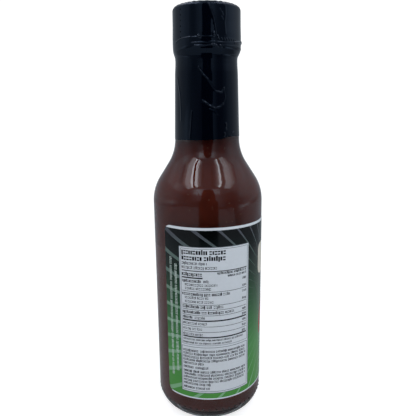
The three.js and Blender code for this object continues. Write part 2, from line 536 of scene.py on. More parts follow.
@dataclass
class GlassBottle:
    """The moulded glass bottle and the sauce that fills it. Sizes are in millimetres."""

    wall: float = 2.6
    heel_radius: float = 9.5
    base_thickness: float = 4.8
    push_up: float = 2.4
    base_ring: float = 11.8
    shoulder_start: float = 96.7
    shoulder_radius: float = 19.0
    shoulder_angle: float = 32.65
    neck_base_radius: float = 13.75
    neck_top_radius: float = 12.7
    neck_top: float = 154.5
    finish_radius: float = 11.5
    finish_bottom: float = 157.5
    mouth_radius: float = 7.3
    mouth_bottom: float = 160.0
    rim_round: float = 1.0
    into_wall: float = 0.05
    meniscus: tuple[Pair, ...] = ((0.0, 0.0), (0.5, 0.4), (1.6, 0.6))
    dot_count: int = 52
    dot_level: float = 8.0
    dot_radius: float = 0.48
    dot_flatness: float = 0.55
    columns: int = 160

    def __post_init__(self) -> None:
        """Takes the body's radius, the rim and the fill level from the frame."""
        low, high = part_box("bottle")
        self.body_radius = (high.x - low.x) / 2 / MM
        self.rim = high.z / MM
        self.fill_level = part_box("sauce")[1].z / MM
        arcs = 2 * self.shoulder_radius
        turn = math.radians(self.shoulder_angle)
        drop = self.body_radius - self.neck_base_radius - arcs * (1 - math.cos(turn))
        self.neck_base = self.shoulder_start + arcs * math.sin(turn) + drop / math.tan(turn)

    def neck_radius(self, height: float) -> float:
        """Returns the neck's outside radius at a height on its taper."""
        share = (height - self.neck_base) / (self.neck_top - self.neck_base)
        return self.neck_base_radius + (self.neck_top_radius - self.neck_base_radius) * share

    def body_outline(self, wall: float, floor: float) -> Outline:
        """Draws the half outline from the middle of the base to the start of the neck.

        Args:
            wall: How far inside the glass's outside it runs.
            floor: Height of its lowest ring.

        Returns:
            The outline.
        """
        dome = [(0.0, 1.0), (0.35, 0.94), (0.62, 0.74), (0.85, 0.34), (1.0, 0.0)]
        outline = Outline()
        for across, up in dome:
            outline.to(across * self.base_ring, floor + up * self.push_up)
        heel = (self.body_radius - self.heel_radius, floor + self.heel_radius - wall)
        outline.arc(heel, self.heel_radius - wall, -90, 0)
        outline.arc((self.body_radius - self.shoulder_radius, self.shoulder_start),
                    self.shoulder_radius - wall, 0, self.shoulder_angle)
        return outline.arc((self.neck_base_radius + self.shoulder_radius, self.neck_base),
                           self.shoulder_radius + wall, 180 + self.shoulder_angle, 180)

    def build_glass(self, finish: MouldedGlass) -> bpy.types.Object:
        """Blows the hollow bottle: up the outside, over the rim and down the inside.

        Args:
            finish: Look of the glass.

        Returns:
            The finished piece.
        """
        outside = self.body_outline(0, 0)
        outside.to(self.neck_top_radius, self.neck_top).to(self.finish_radius, self.finish_bottom)
        turn = self.rim - self.rim_round
        outside.arc((self.finish_radius - self.rim_round, turn), self.rim_round, 0, 90, 4)
        inside = self.body_outline(self.wall, self.base_thickness)
        inside.to(self.neck_top_radius - self.wall, self.neck_top).to(self.mouth_radius, self.mouth_bottom)
        inside.arc((self.mouth_radius + self.rim_round, turn), self.rim_round, 180, 90, 4)
        skin = Outline(outside.points + inside.points[::-1]).spin(self.columns)
        return make_piece("glass_bottle", skin, finish.material(), ("bottle",), 30)

    def build_sauce(self, finish: PepperSauce) -> bpy.types.Object:
        """Fills the bottle, a little into its wall so that no gap of air shows.

        Args:
            finish: Look of the sauce.

        Returns:
            The finished piece.
        """
        wall = self.wall - self.into_wall
        outline = self.body_outline(wall, self.base_thickness - self.into_wall)
        edge = self.neck_radius(self.fill_level) - wall
        for inwards, down in self.meniscus:
            outline.to(edge - inwards, self.fill_level - down)
        skin = outline.to(0, self.fill_level - self.meniscus[-1][1]).spin(self.columns)
        return make_piece("sauce_fill", skin, finish.material(), ("sauce",))

    def build_heel_dots(self, finish: MouldedGlass) -> bpy.types.Object:
        """Rings the heel with the small moulded dots that keep the base off the table.

        Args:
            finish: Look of the glass.

        Returns:
            The finished piece.
        """
        dots = bmesh.new()
        centre = self.body_radius - self.heel_radius
        slope = math.asin((self.dot_level - self.heel_radius) / self.heel_radius)
        for number in range(self.dot_count):
            spot = Matrix.Rotation(math.tau * number / self.dot_count, 4, "Z")
            spot @= Matrix.Translation(Vector((centre, 0, self.heel_radius)) * MM)
            spot @= Matrix.Rotation(-slope, 4, "Y")
            spot @= Matrix.Translation(Vector((self.heel_radius, 0, 0)) * MM)
            spot @= Matrix.Diagonal((self.dot_flatness, 1, 1, 1))
            bmesh.ops.create_icosphere(dots, subdivisions=2, radius=self.dot_radius * MM, matrix=spot)
        return make_piece("heel_dots", dots, finish.material())


@dataclass
class ScrewCap:
    """The black screw cap under the band. Sizes are in millimetres."""

    skirt: float = 1.2
    top_wall: float = 1.6
    corner: float = 1.2
    dish_radius: float = 9.2
    dish_depth: float = 0.35
    columns: int = 96

    def build(self, finish: BlackPolypropylene) -> bpy.types.Object:
        """Moulds the cap, with a shallow dish in its top.

        Args:
            finish: Look of the plastic.

        Returns:
            The finished piece.
        """
        low, high = (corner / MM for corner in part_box("cap"))
        radius, top, bottom = high.x, high.z, low.z
        ceiling = top - self.top_wall
        outline = Outline().to(0, ceiling).to(radius - self.skirt, ceiling)
        outline.to(radius - self.skirt, bottom).to(radius, bottom)
        outline.arc((radius - self.corner, top - self.corner), self.corner, 0, 90, 6)
        outline.to(self.dish_radius + 0.4, top).to(self.dish_radius, top - self.dish_depth)
        outline.to(0, top - self.dish_depth)
        return make_piece("screw_cap", outline.spin(self.columns), finish.material(),
                          ("cap",))


@dataclass(frozen=True)
class Crease:
    """A raised fold in the film: places as degrees round from the front and height in millimetres."""

    path: tuple[Pair, ...]
    height: float
    width: float
    spread: float = 3.0

    def gap(self, angle: float, level: float, radius: float) -> float:
        """Works out how far a place on the film is from the fold.

        Args:
            angle: Degrees round from the front.
            level: Height in millimetres.
            radius: Radius of the film there in millimetres.

        Returns:
            The distance in widths of the fold, or the fold's spread where it is further off than that.
        """
        reach = self.spread * self.width
        scale = math.radians(1) * radius
        here = Vector((angle * scale, level))
        nearest = reach
        for start, end in zip(self.path, self.path[1:]):
            if not min(start[1], end[1]) - reach < level < max(start[1], end[1]) + reach:
                continue
            if not min(start[0], end[0]) - reach / scale < angle < max(start[0], end[0]) + reach / scale:
                continue
            first = Vector((start[0] * scale, start[1]))
            run = Vector(((end[0] - start[0]) * scale, end[1] - start[1]))
            share = min(max((here - first).dot(run) / run.length_squared, 0), 1)
            nearest = min(nearest, (here - first - run * share).length)
        return nearest / self.width

    def lift(self, angle: float, level: float, radius: float) -> float:
        """Works out how far the fold lifts the film at a place.

        Args:
            angle: Degrees round from the front.
            level: Height in millimetres.
            radius: Radius of the film there in millimetres.

        Returns:
            The lift in millimetres.
        """
        gap = self.gap(angle, level, radius)
        return self.height * math.exp(-gap * gap) if gap < self.spread else 0.0


@dataclass
class ShrinkBand:
    """The black film that was shrunk round cap and neck. Sizes are in millimetres."""

    film: float = 0.08
    lower_edge: float = 123.0
    side: tuple[Pair, ...] = (
        (13.84, 123.0), (13.74, 127.0), (13.44, 138.5), (13.14, 150.0), (12.94, 152.8), (12.88, 154.6),
        (12.92, 155.6), (13.06, 156.4), (13.34, 157.3), (13.6, 158.2), (13.74, 159.2), (13.8, 161.0),
        (13.78, 164.0), (13.66, 168.0),
    )
    shoulder: float = 13.6
    hole_radius: float = 10.4
    corner: float = 1.5
    rise: float = 0.1
    curl_drop: float = 0.12
    pleat_height: float = 0.05
    pleat_counts: tuple[int, int] = (29, 41)
    pleat_swells: int = 3
    slack: float = 0.55
    slack_levels: Pair = (156.0, 159.0)
    slack_angle: float = 95.0
    slack_spread: float = 45.0
    edge_base: float = 0.2
    edge_step: float = 1.15
    edge_step_angles: Pair = (20.0, 42.0)
    edge_back_angles: Pair = (110.0, 180.0)
    edge_waves: tuple[tuple[float, int, float], ...] = ((0.12, 3, 20.0), (0.08, 7, 0.0))
    edge_reach: float = 7.0
    columns: int = 200
    row_spacing: float = 0.45
    refinements: int = 2
    fine_within: float = 2.8
    creases: tuple[Crease, ...] = (
        Crease(((4, 174.0), (8, 171.8), (12, 169.2), (15, 165.6), (16, 163.2)), 0.16, 0.22),
        Crease(((-14, 151.2), (-6, 148.7), (2, 146.7), (11, 143.3), (15, 142.2), (26, 141.7), (31, 143.4)),
               0.17, 0.2),
        Crease(((31, 143.4), (33, 139.6), (29, 137.4)), 0.08, 0.26),
        Crease(((-6, 138.6), (4, 136.8), (14, 135.7), (23, 136.2), (29, 137.4)), 0.19, 0.2),
        Crease(((4, 135.4), (12, 134.5), (19, 133.2)), 0.09, 0.22),
        Crease(((-63, 148.0), (-53, 141.0), (-51, 135.0), (-51, 131.0)), 0.14, 0.32),
        Crease(((-26, 134.5), (-27, 131.0), (-28, 128.0), (-30, 123.6)), 0.16, 0.26),
        Crease(((34, 129.6), (34, 128.2)), 0.24, 0.26),
        Crease(((34, 127.3), (34.5, 127.0)), 0.26, 0.26),
        Crease(((31, 125.2), (30, 124.0)), 0.25, 0.28),
        Crease(((52, 125.4), (49, 124.9)), 0.24, 0.26),
        Crease(((23.5, 172.4), (25, 171.4)), 0.09, 0.18),
        Crease(((27, 171.2), (28.5, 170.2)), 0.1, 0.2),
        Crease(((26.5, 169.6), (28.5, 168.6)), 0.09, 0.18),
        Crease(((-62, 161.2), (-45.8, 162.2), (-26.8, 162.4)), 0.15, 0.2),
        Crease(((-12.5, 162.7), (-11, 162.2), (-8.5, 162.0)), 0.32, 0.34),
        Crease(((-24, 162.3), (0, 162.3), (11.5, 162.3), (12.6, 162.8), (13.4, 162.3)), 0.08, 0.18),
        Crease(((12.6, 163.6), (12.8, 162.5)), 0.32, 0.36),
        Crease(((18.6, 162.6), (19.4, 161.9)), 0.2, 0.24),
        Crease(((-24, 160.2), (-4, 160.2), (12.5, 160.5), (30, 160.3), (54, 160.8)), 0.1, 0.24),
        Crease(((54, 160.8), (66, 161.3), (80, 161.9), (110, 161.4)), 0.36, 0.4),
        Crease(((33, 173.4), (33.4, 170.4), (31.5, 167.5), (33, 163.5)), 0.07, 0.3),
        Crease(((-19, 159.2), (-14, 159.1), (-3.4, 159.1), (9.4, 159.5)), 0.12, 0.2),
        Crease(((9.4, 159.5), (13, 159.5), (17, 159.1), (20.3, 158.5)), 0.2, 0.2),
        Crease(((22.8, 159.3), (24.6, 159.1), (25.9, 158.5)), 0.17, 0.2),
        Crease(((27, 159.4), (44, 159.2), (62, 159.5), (84, 159.3)), 0.1, 0.28),
        Crease(((118, 173.0), (123, 166.0), (121, 163.0)), 0.12, 0.22),
        Crease(((150, 151.0), (162, 146.5), (178, 143.0)), 0.13, 0.22),
        Crease(((-178, 143.0), (-160, 139.5), (-149, 141.5)), 0.13, 0.22),
        Crease(((-120, 150.0), (-112, 143.0), (-114, 134.0)), 0.09, 0.36),
        Crease(((92, 147.0), (96, 139.0), (94, 130.0)), 0.09, 0.36),
        Crease(((-170, 161.0), (-140, 160.5), (-104, 161.0)), 0.16, 0.34),
    ) + tuple(Crease(((angle, 161.9), (angle + 1.6, 161.3)), 0.14, 0.17) for angle in range(20, 60, 5))
    perforation_angle: float = -46.5
    perforation_start: float = 162.75
    perforation_pitch: float = 2.05
    perforation_count: int = 6
    hole_size: float = 0.24

    def edge_lift(self, angle: float) -> float:
        """Works out how far the cut lower edge rises above its lowest line.

        Args:
            angle: Degrees round from the front.

        Returns:
            The rise in millimetres.
        """
        start, end = self.edge_step_angles
        step = min(max((angle - start) / (end - start), 0), 1)
        start, end = self.edge_back_angles
        back = min(max((end - angle) / (end - start), 0), 1)
        wave = sum(height * math.sin(math.radians(count * angle + lag))
                   for height, count, lag in self.edge_waves)
        return self.edge_step * step * step * (3 - 2 * step) * back + wave + self.edge_base

    def outline(self, inset: float) -> Outline:
        """Draws one face of the film, from its cut edge on the neck to its curl over the cap.

        Args:
            inset: How far inside the film's outside it runs.

        Returns:
            The outline.
        """
        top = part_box("shrink_band")[1].z / MM + self.rise
        outline = Outline()
        for radius, height in self.side:
            outline.to(radius - inset, height)
        outline.arc((self.shoulder - self.corner, top - self.corner), self.corner - inset, 0, 90, 8)
        return outline.to(self.hole_radius, top - self.curl_drop - inset)

    def refine(self, skin: bmesh.types.BMesh) -> None:
        """Makes the mesh of the film's outside finer along its folds.

        Args:
            skin: The spun film.
        """
        for _ in range(self.refinements):
            near = set()
            for vert in skin.verts:
                spot = self.place(vert)
                if self.is_outside(vert) and any(c.gap(*spot) < self.fine_within for c in self.creases):
                    near.add(vert)
            edges = [edge for edge in skin.edges if edge.verts[0] in near and edge.verts[1] in near]
            bmesh.ops.subdivide_edges(skin, edges=edges, cuts=1, use_grid_fill=True)
            skin.normal_update()

    def place(self, vert: bmesh.types.BMVert) -> tuple[float, float, float]:
        """Returns a point's degrees round from the front, height and radius in millimetres."""
        return math.degrees(math.atan2(vert.co.x, -vert.co.y)), vert.co.z / MM, vert.co.to_2d().length / MM

    def is_outside(self, vert: bmesh.types.BMVert) -> bool:
        """Tells whether a point lies on the film's outside."""
        return vert.normal.to_2d().dot(vert.co.to_2d().normalized()) > 0.1 or vert.normal.z > 0.7

    def build(self, finish: ShrinkFilm) -> bpy.types.Object:
        """Shrinks the film on: spins it, then lifts its folds, pleats and slack side.

        Args:
            finish: Look of the film.

        Returns:
            The finished piece.
        """
        outside = self.outline(0).finer(self.row_spacing).points
        inside = self.outline(self.film).points
        skin = Outline(outside + inside[::-1] + outside[:1]).spin(self.columns)
        skin.normal_update()
        self.refine(skin)
        rim = max(vert.co.z for vert in skin.verts) / MM - self.corner
        for vert in skin.verts:
            angle, level, radius = self.place(vert)
            lift = 0.0
            if self.is_outside(vert):
                lift = sum(crease.lift(angle, level, radius) for crease in self.creases)
                over = min(max((level - rim) / self.corner, 0), 1)
                lift += self.pleat_height * over * self.pleat(math.radians(angle))
            vert.co += vert.normal * (lift * MM)
            vert.co += Vector((vert.co.x, vert.co.y, 0)).normalized() * self.stand_off(angle, level) * MM
            near_edge = max(1 - (level - self.lower_edge) / self.edge_reach, 0)
            vert.co.z += self.edge_lift(angle) * near_edge * MM
        return make_piece("shrink_film", skin, finish.material(), ("shrink_band",), 60)

    def pleat(self, turn: float) -> float:
        """Returns the height of the small pleats over the rim, from -2 to 2, at a turn in radians."""
        even, uneven = self.pleat_counts
        return math.sin(even * turn) + math.sin(uneven * turn + 1) * math.sin(self.pleat_swells * turn)

    def stand_off(self, angle: float, level: float) -> float:
        """Works out how far the slack film stands off the cap on the right.

        Args:
            angle: Degrees round from the front.
            level: Height in millimetres.

        Returns:
            The distance in millimetres.
        """
        low, high = self.slack_levels
        above = min(max((level - low) / (high - low), 0), 1)
        return self.slack * above * math.exp(-(((angle - self.slack_angle) / self.slack_spread) ** 2))

    def side_radius(self, level: float) -> float:
        """Works out the radius of the film's outside, without its folds.

        Args:
            level: Height in millimetres.

        Returns:
            The radius in millimetres.
        """
        for (near, low), (far, high) in zip(self.side, self.side[1:]):
            if low <= level <= high:
                return near + (far - near) * (level - low) / (high - low)
        return self.shoulder

    def build_perforation(self, finish: PaintedHoleShade) -> bpy.types.Object:
        """Lays the row of tear holes down the cap's side as dark dots of painted shade.

        Args:
            finish: Look of the dark holes, partly painted shade.

        Returns:
            The finished piece.
        """
        holes = bmesh.new()
        for number in range(self.perforation_count):
            level = self.perforation_start + number * self.perforation_pitch
            spot = Matrix.Rotation(math.radians(self.perforation_angle), 4, "Z")
            spot @= Matrix.Translation(Vector((0, -self.side_radius(level), level)) * MM)
            spot @= Matrix.Diagonal((1, 0.5, 1.2, 1))
            bmesh.ops.create_icosphere(holes, subdivisions=2, radius=self.hole_size * MM, matrix=spot)
        return make_piece("film_perforation_painted_shade", holes, finish.material())


class Weight(Enum):
    """Weights of the plain strokes that stand for rows of type: stroke width and gap by row height."""

    BOLD = (0.33, 0.11)
    MEDIUM = (0.25, 0.13)
    LIGHT = (0.2, 0.15)


@dataclass
class Press:
    """Lays flat marks of one ink and wraps them round the label.

    Sizes are in millimetres, except that those of strokes are shares of their row's height.
    """

    radius: float
    level: float
    column: float = 1.5
    word_gap: float = 0.34
    body: float = 0.78
    tail: float = 0.22
    wide_chance: float = 0.4
    wide_widths: Pair = (0.42, 0.56)
    wide_bar: float = 0.26
    flat: bmesh.types.BMesh = field(default_factory=bmesh.new)

    def block(self, left: float, right: float, bottom: float, top: float) -> None:
        """Lays a rectangle of ink, sunk a little into what lies below it.

        Args:
            left: Its left edge along the label.
            right: Its right edge.
            bottom: Height of its lower edge.
            top: Height of its upper edge.
        """
        size = Vector((right - left, 2 * self.level, top - bottom)) * MM
        middle = Vector(((left + right) / 2, 0, (bottom + top) / 2)) * MM
        bmesh.ops.create_cube(self.flat, size=1.0, matrix=Matrix.LocRotScale(middle, None, size))

    def frame(self, left: float, right: float, bottom: float, top: float, line: float) -> None:
        """Lays a thin rectangular frame of four lines that meet at the corners.

        Args:
            left: Its left edge along the label.
            right: Its right edge.
            bottom: Height of its lower edge.
            top: Height of its upper edge.
            line: Width of its lines.
        """
        self.block(left, right, top - line, top)
        self.block(left, right, bottom, bottom + line)
        self.block(left, left + line, bottom + line, top - line)
        self.block(right - line, right, bottom + line, top - line)

    def shape(self, corners: list[Pair]) -> None:
        """Lays a filled shape of ink.

        Args:
            corners: Places along and up the label, in order round the shape.
        """
        face = self.flat.faces.new([self.flat.verts.new(Vector((x, self.level, z)) * MM) for x, z in corners])
        raised = bmesh.ops.extrude_face_region(self.flat, geom=[face])["geom"]
        bmesh.ops.translate(self.flat, vec=Vector((0, -2 * self.level, 0)) * MM,
                            verts=[part for part in raised if isinstance(part, bmesh.types.BMVert)])

    def words(self, left: float, right: float, base: float, height: float, weight: Weight,
              dice: random.Random, upright: bool = False) -> None:
        """Fills a row with groups of plain strokes, as long as words and with no letters.

        Args:
            left: Start of the row along the label, or its lower end if it runs upwards.
            right: End of the row.
            base: Line that the strokes stand on.
            height: Height of the tallest strokes.
            weight: Stroke width and gap.
            dice: Source of the word lengths and stroke heights.
            upright: True for a row that runs up the label.
        """
        stroke, gap = (height * share for share in weight.value)
        place, rest = left, dice.randint(7, 13)
        while place + stroke <= right:
            if rest <= 0:
                rest = dice.randint(3, 13)
                place += height * self.word_gap
                continue
            top = base + height * dice.choice((self.body, self.body, self.body, 1.0))
            foot = base - height * dice.choice((0.0, 0.0, 0.0, 0.0, 0.0, self.tail))
            bars = [(foot, top)]
            width = stroke * dice.uniform(0.85, 1.2)
            if dice.random() < self.wide_chance:
                bar = min(stroke, height * self.wide_bar)
                top = base + height * self.body
                bars = [(base, base + bar), (top - bar, top)]
                width = height * dice.uniform(*self.wide_widths)
            end = min(place + width, right)
            for low, high in bars:
                if upright:
                    self.block(-high, -low, place, end)
                else:
                    self.block(place, end, low, high)
            place = end + gap * dice.uniform(0.8, 1.3)
            rest -= 1

    def wrapped(self) -> bmesh.types.BMesh:
        """Cuts the marks into columns and bends them round the bottle.

        Returns:
            The bent marks.
        """
        span = [vert.co.x / MM for vert in self.flat.verts]
        cut = math.ceil(min(span) / self.column)
        while cut * self.column < max(span):
            everything = self.flat.verts[:] + self.flat.edges[:] + self.flat.faces[:]
            bmesh.ops.bisect_plane(self.flat, geom=everything, dist=1e-7,
                                   plane_co=(cut * self.column * MM, 0, 0), plane_no=(1, 0, 0))
            cut += 1
        for vert in self.flat.verts:
            angle = vert.co.x / (self.radius * MM)
            reach = self.radius * MM - vert.co.y
            vert.co = Vector((reach * math.sin(angle), -reach * math.cos(angle), vert.co.z))
        bmesh.ops.recalc_face_normals(self.flat, faces=self.flat.faces)
        return self.flat


@dataclass(frozen=True)
class Row:
    """A row of the panel: where its strokes end, its base line and height, and how heavy it is."""

    end: float
    base: float
    height: float
    weight: Weight
    indent: float = 0.0
    percent: bool = False
    light_from: float | None = None


@dataclass
class WrapLabel:
    """The wrap-round label with a plain facts panel. Sizes are in millimetres, from the front middle."""

    bottle: GlassBottle
    start_angle: float = -48.5
    length: float = 127.0
    thickness: float = 0.1
    corner: float = 3.2
    panel: tuple[float, float, float, float] = (-12.5, 18.54, 16.4, 81.6)
    text_left: float = -11.25
    text_right: float = 17.15
    rows: tuple[Row, ...] = (
        Row(7.6, 78.45, 2.05, Weight.BOLD), Row(7.1, 75.95, 2.05, Weight.BOLD),
        Row(-0.4, 74.15, 1.25, Weight.LIGHT), Row(3.7, 72.35, 1.25, Weight.LIGHT),
        Row(-2.4, 69.35, 1.5, Weight.BOLD),
        Row(0.2, 66.6, 1.25, Weight.BOLD, percent=True, light_from=-2.1),
        Row(3.9, 65.0, 1.15, Weight.LIGHT, 1.3), Row(1.0, 63.4, 1.15, Weight.LIGHT, 1.3, True),
        Row(9.1, 60.9, 1.3, Weight.BOLD, percent=True, light_from=6.0),
        Row(0.2, 59.4, 1.15, Weight.LIGHT, 1.2), Row(2.0, 57.7, 1.15, Weight.LIGHT, 1.2, True),
        Row(6.1, 55.4, 1.25, Weight.BOLD, light_from=2.0),
        Row(10.8, 52.95, 1.25, Weight.BOLD, percent=True, light_from=6.8),
        Row(-1.6, 50.65, 1.2, Weight.BOLD, percent=True, light_from=-6.0),
        Row(-0.7, 48.05, 1.1, Weight.LIGHT, percent=True), Row(-2.9, 45.6, 1.1, Weight.LIGHT, percent=True),
        Row(-2.4, 43.1, 1.1, Weight.LIGHT, percent=True),
        Row(15.7, 40.9, 0.85, Weight.MEDIUM), Row(10.2, 39.4, 0.85, Weight.MEDIUM),
    )
    column_heads: tuple[Pair, ...] = ((70.2, 3.6), (68.8, 8.0))
    percent_width: float = 2.2
    small_height: float = 1.0
    thin_rules: tuple[float, ...] = (62.65, 56.9, 54.7, 52.25, 47.3, 44.8)
    thick_rules: tuple[float, ...] = (49.9, 42.45)
    rule_halves: Pair = (0.09, 0.28)
    top_rule: Pair = (71.3, 71.65)
    short_rule: Pair = (68.25, 68.8)
    short_rule_end: float = -2.4
    box_split: Pair = (37.9, 38.7)
    frame_inset: float = 0.75
    field_level: float = 0.02
    frame_level: float = 0.03
    stroke_level: float = 0.035
    ingredient_top: float = 35.55
    ingredient_height: float = 1.1
    ingredient_pitch: float = 1.47
    paragraph_gap: float = 0.42
    ingredient_ends: tuple[tuple[float, ...], ...] = ((16.9, 16.6, 16.9, 16.8, -2.0), (0.0,),
                                                      (16.9, 16.7, 16.9, 16.5, 0.5), (0.3,))

    def __post_init__(self) -> None:
        """Takes the label's heights from the frame and places its left end."""
        low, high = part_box("label")
        self.bottom, self.top = low.z / MM, high.z / MM - 0.1
        self.radius = self.bottle.body_radius
        self.start = math.radians(self.start_angle) * self.radius
        self.outside = self.radius + self.thickness

    def build_sheet(self, finish: VarnishedPaper) -> bpy.types.Object:
        """Cuts the sheet with round corners, maps it flat and wraps it round the glass.

        Args:
            finish: Look of the printed paper.

        Returns:
            The finished piece.
        """
        press = Press(self.outside, self.thickness / 2)
        sheet = press.flat
        end = self.start + self.length
        ends = [(self.start, self.bottom), (end, self.bottom), (end, self.top), (self.start, self.top)]
        sheet.faces.new([sheet.verts.new(Vector((x, self.thickness, z)) * MM) for x, z in ends])
        bmesh.ops.bevel(sheet, geom=sheet.verts[:], offset=self.corner * MM, offset_type="OFFSET",
                        affect="VERTICES", segments=8, profile=0.5, material=-1)
        raised = bmesh.ops.extrude_face_region(sheet, geom=sheet.faces[:])["geom"]
        bmesh.ops.translate(sheet, vec=Vector((0, -self.thickness, 0)) * MM,
                            verts=[part for part in raised if isinstance(part, bmesh.types.BMVert)])
        flat = sheet.loops.layers.uv.new("flat")
        wrapped = press.wrapped()
        span = finish.print_span
        middle = self.start + self.length / 2
        for face in wrapped.faces:
            for loop in face.loops:
                turn = math.atan2(loop.vert.co.x, -loop.vert.co.y) - middle / self.radius
                turn = (turn + math.pi) % math.tau - math.pi
                along = middle + turn * self.radius
                loop[flat].uv = (along / span, loop.vert.co.z / MM / span)
        return make_piece("label_sheet", wrapped, finish.material(), ("label",))

    def build_panel(self, paper: Ink, dark: Ink) -> None:
        """Prints the facts panel: a pale field, frames, rules and rows of plain strokes.

        Args:
            paper: Pale ink of the field.
            dark: Ink of frames, rules and strokes.
        """
        left, right, bottom, top = self.panel
        field_press = Press(self.outside, self.field_level)
        field_press.block(left, right, bottom, top)
        make_piece("panel_field", field_press.wrapped(), paper.material())
        ink = Press(self.outside, self.stroke_level)
        dice = random.Random(5)
        for row in self.rows:
            start = self.text_left + row.indent
            if row.light_from is not None:
                ink.words(start, row.light_from - 0.5, row.base, row.height, row.weight, dice)
                ink.words(row.light_from, row.end, row.base, row.height, Weight.LIGHT, dice)
            else:
                ink.words(start, row.end, row.base, row.height, row.weight, dice)
            if row.percent:
                ink.words(self.text_right - self.percent_width, self.text_right, row.base, self.small_height,
                          Weight.MEDIUM, dice)
        for base, start in self.column_heads:
            ink.words(start, self.text_right, base, self.small_height, Weight.BOLD, dice)
        self._ingredients(ink, dice)
        for rules, half in zip((self.thin_rules, self.thick_rules), self.rule_halves):
            for height in rules:
                ink.block(self.text_left, self.text_right, height - half, height + half)
        ink.block(self.text_left, self.text_right, *self.top_rule)
        ink.block(self.text_left, self.short_rule_end, *self.short_rule)
        make_piece("panel_strokes", ink.wrapped(), dark.material())

    def _ingredients(self, ink: Press, dice: random.Random) -> None:
        """Fills the lower box with justified rows, in short paragraphs.

        Args:
            ink: Press that holds the dark strokes.
            dice: Source of the word lengths.
        """
        base, left, height = self.ingredient_top, self.text_left - 0.2, self.ingredient_height
        for paragraph in self.ingredient_ends:
            heading = 7.2 if len(paragraph) > 1 else 5.0
            for number, end in enumerate(paragraph):
                start = left
                if number == 0:
                    start = left + heading + 0.5
                    ink.words(left, left + heading, base, height, Weight.BOLD, dice)
                ink.words(start, end, base, height, Weight.MEDIUM, dice)
                base -= self.ingredient_pitch
            base -= self.paragraph_gap

    def build_frames(self, grey: Ink) -> None:
        """Prints the thin grey frames of the panel's two boxes.

        Args:
            grey: Ink of the frames.
        """
        left, right, bottom, top = self.panel
        inset = self.frame_inset
        below, above = self.box_split
        lines = Press(self.outside, self.frame_level)
        lines.frame(left + inset, right - inset, above, top - inset, 0.16)
        lines.frame(left + inset * 0.6, right - inset, bottom + inset, below, 0.2)
        lines.frame(left, right, bottom, top, 0.22)
        make_piece("panel_frames", lines.wrapped(), grey.material())

    def build_side_rows(self, pale: Ink) -> None:
        """Prints the two pale rows that run up the label beside the panel.

        Args:
            pale: Ink of the strokes.
        """
        side = Press(self.outside, self.field_level)
        dice = random.Random(9)
        side.words(22.3, 76.4, 16.6, 1.25, Weight.MEDIUM, dice, upright=True)
        side.words(25.0, 73.6, 13.9, 1.25, Weight.MEDIUM, dice, upright=True)
        make_piece("side_strokes", side.wrapped(), pale.material())


@dataclass
class FrontPrint:
    """The plain front of the label: a blank name plate, three peppers and a blank strip."""

    label: WrapLabel
    middle: float = 43.5

    def plate(self, press: Press, width: float, bottom: float, top: float, corner: float) -> None:
        """Lays a blank plate with round corners on the middle line.

        Args:
            press: Press that holds the ink.
            width: Width along the label.
            bottom: Height of the lower edge.
            top: Height of the upper edge.
            corner: Corner radius.
        """
        outline = []
        for quarter, (side, level) in enumerate(((1, top), (-1, top), (-1, bottom), (1, bottom))):
            centre_x = self.middle + side * (width / 2 - corner)
            centre_z = level - corner if level == top else level + corner
            for step in range(7):
                angle = math.radians(90 * quarter + 15 * step)
                outline.append((centre_x + corner * math.cos(angle), centre_z + corner * math.sin(angle)))
        press.shape(outline)

    def pepper(self, press: Press, root: Pair, tip: Pair, sag: float, width: float) -> None:
        """Lays a curved pepper that tapers to its tip.

        Args:
            press: Press that holds the ink.
            root: Place of its stalk end.
            tip: Place of its tip.
            sag: How far its middle bows to one side.
            width: Its widest width.
        """
        start, end = Vector(root), Vector(tip)
        run = end - start
        across = Vector((-run.y, run.x)).normalized()
        near, far = [], []
        steps = 16
        for step in range(steps + 1):
            share = step / steps
            spine = start + run * share + across * sag * 4 * share * (1 - share)
            half = width / 2 * math.sqrt(math.sin(math.pi * (0.12 + 0.88 * share))) * (1 - 0.55 * share)
            near.append(tuple(spine + across * half))
            far.append(tuple(spine - across * half))
        press.shape(far + near[-2::-1])

    def build(self, cream: Ink, red: Ink, leaf: Ink) -> None:
        """Prints the front.

        Args:
            cream: Ink of the blank plates.
            red: Ink of the peppers.
            leaf: Ink of the stalks.
        """
        plates = Press(self.label.outside, 0.02)
        self.plate(plates, 34.0, 65.0, 79.0, 3.0)
        self.plate(plates, 22.0, 19.0, 24.5, 2.4)
        make_piece("front_plates", plates.wrapped(), cream.material())
        pods, stalks = Press(self.label.outside, 0.02), Press(self.label.outside, 0.03)
        for lean in (-1, 0, 1):
            root = (self.middle + 3.2 * lean, 57.0 - 1.6 * abs(lean))
            tip = (self.middle + 14.5 * lean + (1.5 if lean == 0 else 0), 33.0 + 3.0 * abs(lean))
            sag = 3.0 if lean >= 0 else -3.0
            self.pepper(pods, root, tip, sag, 6.4)
            foot = (root[0], root[1] - 0.6)
            end = (root[0] - 1.2 * lean + 0.8, root[1] + 5.0)
            self.pepper(stalks, foot, end, 0.5, 2.6)
        make_piece("front_peppers", pods.wrapped(), red.material())
        make_piece("front_stalks", stalks.wrapped(), leaf.material())


